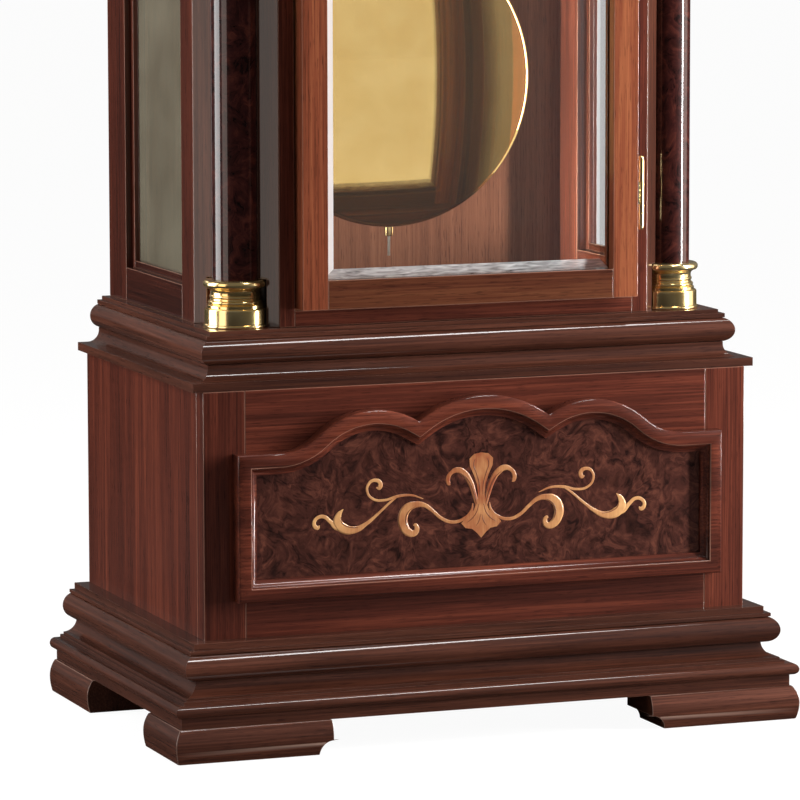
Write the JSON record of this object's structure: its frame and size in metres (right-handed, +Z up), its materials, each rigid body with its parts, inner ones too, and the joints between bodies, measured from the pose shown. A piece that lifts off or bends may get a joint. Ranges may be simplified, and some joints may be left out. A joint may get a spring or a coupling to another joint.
{
  "type": "longcase clock",
  "caption": "Tall floor-standing pendulum clock: moulded plinth, panelled base, glazed trunk and hood with doors, brass-mounted corner columns, dial, pendulum and weights.",
  "frame": {"origin": "on the floor under the middle of the clock's footprint", "axes": "+Z up, -Y out of the front with the doors and dial, +X to the viewer's right"},
  "size_m": [0.572, 0.364, 2.0005],
  "materials": {
    "mahogany": "high gloss lacquer",
    "door_wood": "high gloss lacquer",
    "back_wood": "satin lacquer",
    "burl": "high gloss lacquer on burl",
    "brass": "polished and lacquered",
    "steel": "polished",
    "line": "twisted wire",
    "dial": "matted brass",
    "ring": "silvered",
    "glass": "clear"
  },
  "bodies": {
    "case": {"bracket_feet": "mahogany", "plinth_moulding": "mahogany", "case_floors": "mahogany", "base_sides": "mahogany", "base_front_stiles": "mahogany", "base_front_board": "mahogany", "burl_panel": "burl", "panel_moulding": "mahogany", "waist_moulding": "mahogany", "back_boards": "back_wood", "hood_moulding": "mahogany", "cornice_moulding": "mahogany", "hood_top": "mahogany", "pediment_scrolls": "mahogany", "finial": "mahogany", "seat_board": "back_wood", "movement_plates": "brass", "movement_pillars": "brass", "dial_plate": "dial", "chapter_ring": "ring", "suspension_cock": "brass", "trunk_posts": "mahogany", "trunk_columns": "burl", "trunk_column_brass": "brass", "trunk_side_frames": "mahogany", "trunk_side_glass": "glass", "trunk_front_frame": "mahogany", "trunk_hinge_leaves": "brass", "hood_posts": "mahogany", "hood_columns": "burl", "hood_column_brass": "brass", "hood_side_frames": "mahogany", "hood_side_glass": "glass", "hood_front_frame": "mahogany", "hood_hinge_leaves": "brass"},
    "trunk_door": {"trunk_door_frame": "door_wood", "trunk_door_glass": "glass", "trunk_door_leaves": "brass", "trunk_door_knob": "brass"},
    "hood_door": {"hood_door_frame": "door_wood", "hood_door_glass": "glass", "hood_door_leaves": "brass", "hood_door_knob": "brass"},
    "pendulum": {"pendulum_rod": "steel", "pendulum_bob": "brass"},
    "rating_nut": {"rating_nut": "brass"},
    "pallet_anchor": {"pallet_anchor": "steel"},
    "escape_wheel": {"escape_wheel": "brass"},
    "third_wheel": {"third_wheel": "brass"},
    "centre_wheel": {"centre_wheel": "brass", "minute_hand": "steel"},
    "great_wheel": {"great_wheel": "brass"},
    "minute_wheel": {"minute_wheel": "brass"},
    "hour_hand": {"hour_hand": "steel"},
    "going_barrel": {"going_barrel": "brass"},
    "strike_barrel": {"strike_barrel": "brass"},
    "going_weight": {"going_weight": "brass", "going_line": "line"},
    "strike_weight": {"strike_weight": "brass", "strike_line": "line"}
  },
  "joints": [
    {"name": "trunk_door_swing", "type": "hinge", "parent": "case", "child": "trunk_door", "pos_m": [0.158, -0.124, 0.3555], "axis": [0, 0, 1], "range_deg": [0, 100]},
    {"name": "hood_door_swing", "type": "hinge", "parent": "case", "child": "hood_door", "pos_m": [0.158, -0.124, 1.3105], "axis": [0, 0, 1], "range_deg": [0, 100]},
    {"name": "pendulum_swing", "type": "hinge", "parent": "case", "child": "pendulum", "pos_m": [0, 0.0736, 1.5445], "axis": [0, 1, 0], "range_deg": [-3, 3]},
    {"name": "rating_nut_turn", "type": "hinge", "parent": "pendulum", "child": "rating_nut", "pos_m": [0, 0.0736, 0.4191], "axis": [0, 0, 1], "continuous": true},
    {"name": "anchor_rock", "type": "hinge", "parent": "case", "child": "pallet_anchor", "pos_m": [0, 0, 1.5445], "axis": [0, 1, 0], "range_deg": [-3, 3]},
    {"name": "minute_turn", "type": "hinge", "parent": "case", "child": "centre_wheel", "pos_m": [0, 0, 1.4805], "axis": [0, 1, 0], "continuous": true},
    {"name": "hour_turn", "type": "hinge", "parent": "case", "child": "hour_hand", "pos_m": [0, 0, 1.4805], "axis": [0, 1, 0], "continuous": true},
    {"name": "minute_wheel_turn", "type": "hinge", "parent": "case", "child": "minute_wheel", "pos_m": [0, 0, 1.4637], "axis": [0, 1, 0], "continuous": true},
    {"name": "third_turn", "type": "hinge", "parent": "case", "child": "third_wheel", "pos_m": [0.01081, 0, 1.4992], "axis": [0, 1, 0], "continuous": true},
    {"name": "escape_turn", "type": "hinge", "parent": "case", "child": "escape_wheel", "pos_m": [0, 0, 1.5165], "axis": [0, 1, 0], "continuous": true},
    {"name": "great_turn", "type": "hinge", "parent": "case", "child": "great_wheel", "pos_m": [0.02771, 0, 1.44947], "axis": [0, 1, 0], "continuous": true},
    {"name": "going_weight_fall", "type": "slide", "parent": "case", "child": "going_weight", "axis": [0, 0, -1], "range_m": [0, 0.58], "deforming": ["going_line"]},
    {"name": "going_barrel_turn", "type": "hinge", "parent": "case", "child": "going_barrel", "pos_m": [0.02771, 0, 1.44947], "axis": [0, 1, 0], "range_deg": [0, 2052.33]},
    {"name": "strike_weight_fall", "type": "slide", "parent": "case", "child": "strike_weight", "axis": [0, 0, -1], "range_m": [0, 0.58], "deforming": ["strike_line"]},
    {"name": "strike_barrel_turn", "type": "hinge", "parent": "case", "child": "strike_barrel", "pos_m": [-0.02771, 0, 1.44947], "axis": [0, 1, 0], "range_deg": [-2052.33, 0]}
  ],
  "couplings": [
    {"joint": "anchor_rock", "follows": "pendulum_swing", "ratio": 1},
    {"joint": "minute_turn", "follows": "third_turn", "ratio": -0.125},
    {"joint": "hour_turn", "follows": "third_turn", "ratio": -0.010417},
    {"joint": "minute_wheel_turn", "follows": "third_turn", "ratio": 0.041667},
    {"joint": "escape_turn", "follows": "third_turn", "ratio": -7.5},
    {"joint": "great_turn", "follows": "third_turn", "ratio": 0.010417},
    {"joint": "going_barrel_turn", "follows": "going_weight_fall", "rad_per_m": 61.728},
    {"joint": "strike_barrel_turn", "follows": "strike_weight_fall", "rad_per_m": -61.728}
  ]
}
